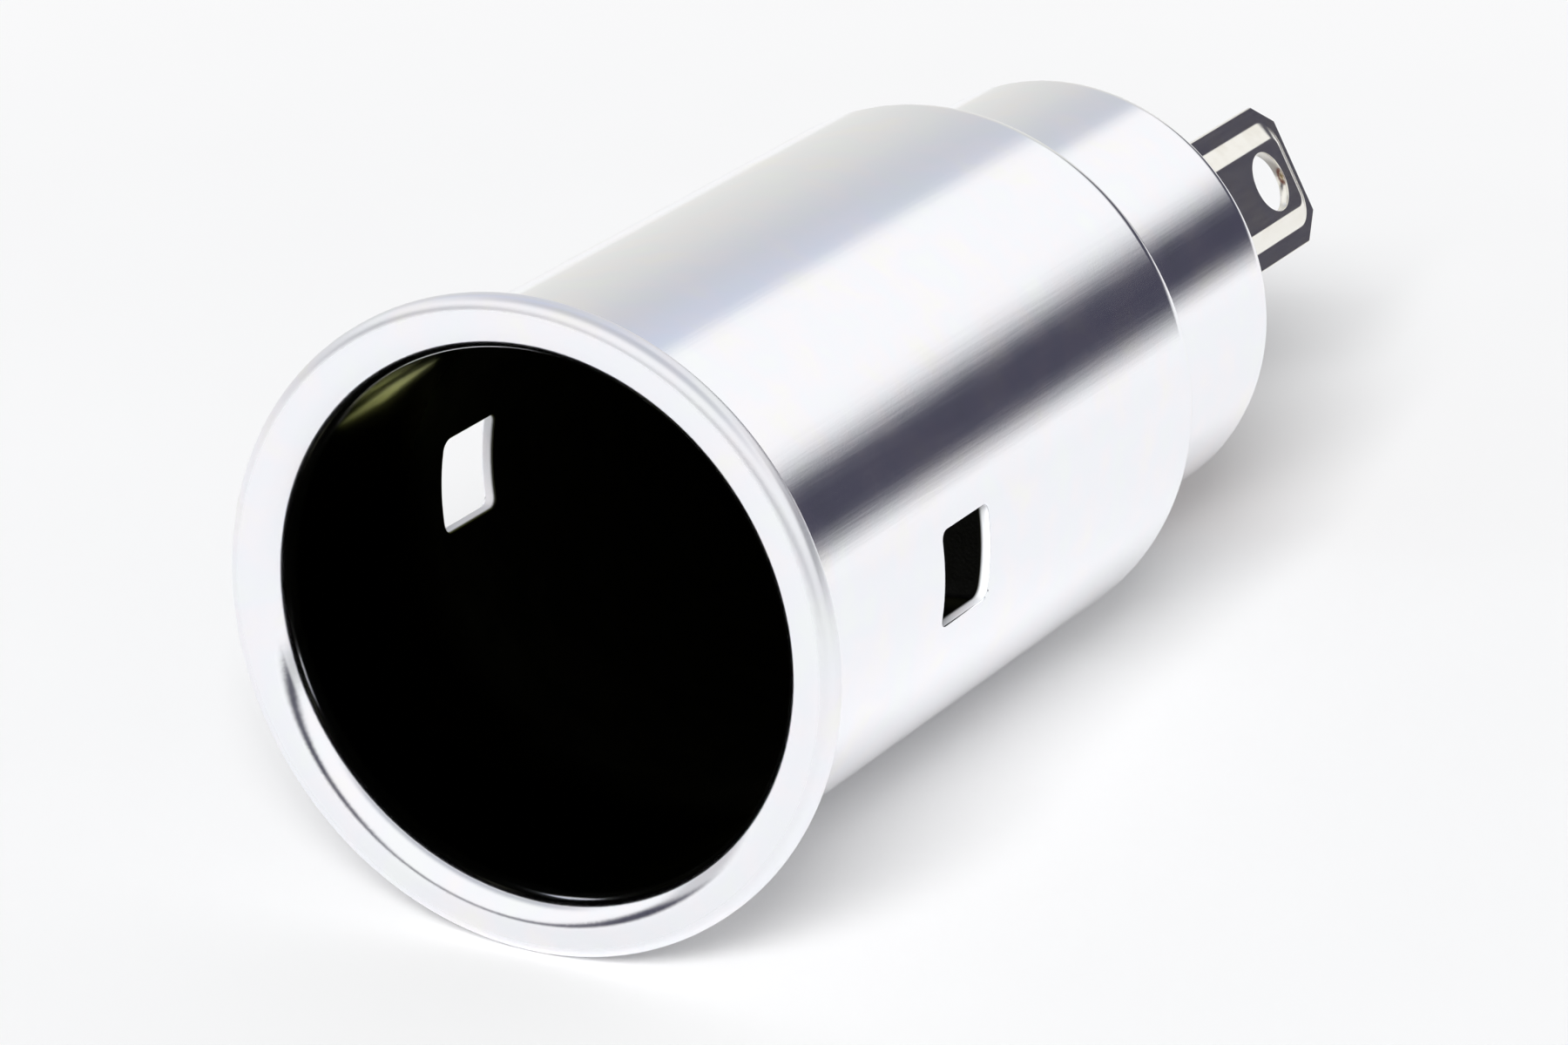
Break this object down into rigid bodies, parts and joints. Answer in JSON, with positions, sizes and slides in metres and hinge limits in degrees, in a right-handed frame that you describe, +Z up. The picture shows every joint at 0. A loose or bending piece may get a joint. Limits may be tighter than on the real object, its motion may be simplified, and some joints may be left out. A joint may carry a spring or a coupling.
{
  "type": "car 12 volt power socket",
  "caption": "Bright-plated steel 12 V accessory socket: flanged round barrel with side windows, a narrower neck and a flat quick-connect tab behind its riveted centre contact.",
  "frame": {"origin": "on the socket's axis, in the plane of the flange's back face, which seats on the panel", "axes": "+Y along the axis from the mouth to the tab, +Z up, +X to the right seen from the mouth"},
  "size_m": [0.0252, 0.0607, 0.0252],
  "materials": {
    "bright_plated_steel": "bright plated, slightly blue, with faint draw lines",
    "black_insulator": "moulded black, satin",
    "contact_brass": "turned brass, lightly tarnished",
    "red_fibre": "punched vulcanised fibre, dull",
    "tinned_brass": "tin plated, semi-bright"
  },
  "bodies": {
    "root": {"shell": "bright_plated_steel", "insulator_bush": "black_insulator", "contact_plate": "contact_brass", "contact_rivet": "contact_brass", "fibre_washer": "red_fibre", "blade_terminal": "tinned_brass"}
  },
  "joints": []
}
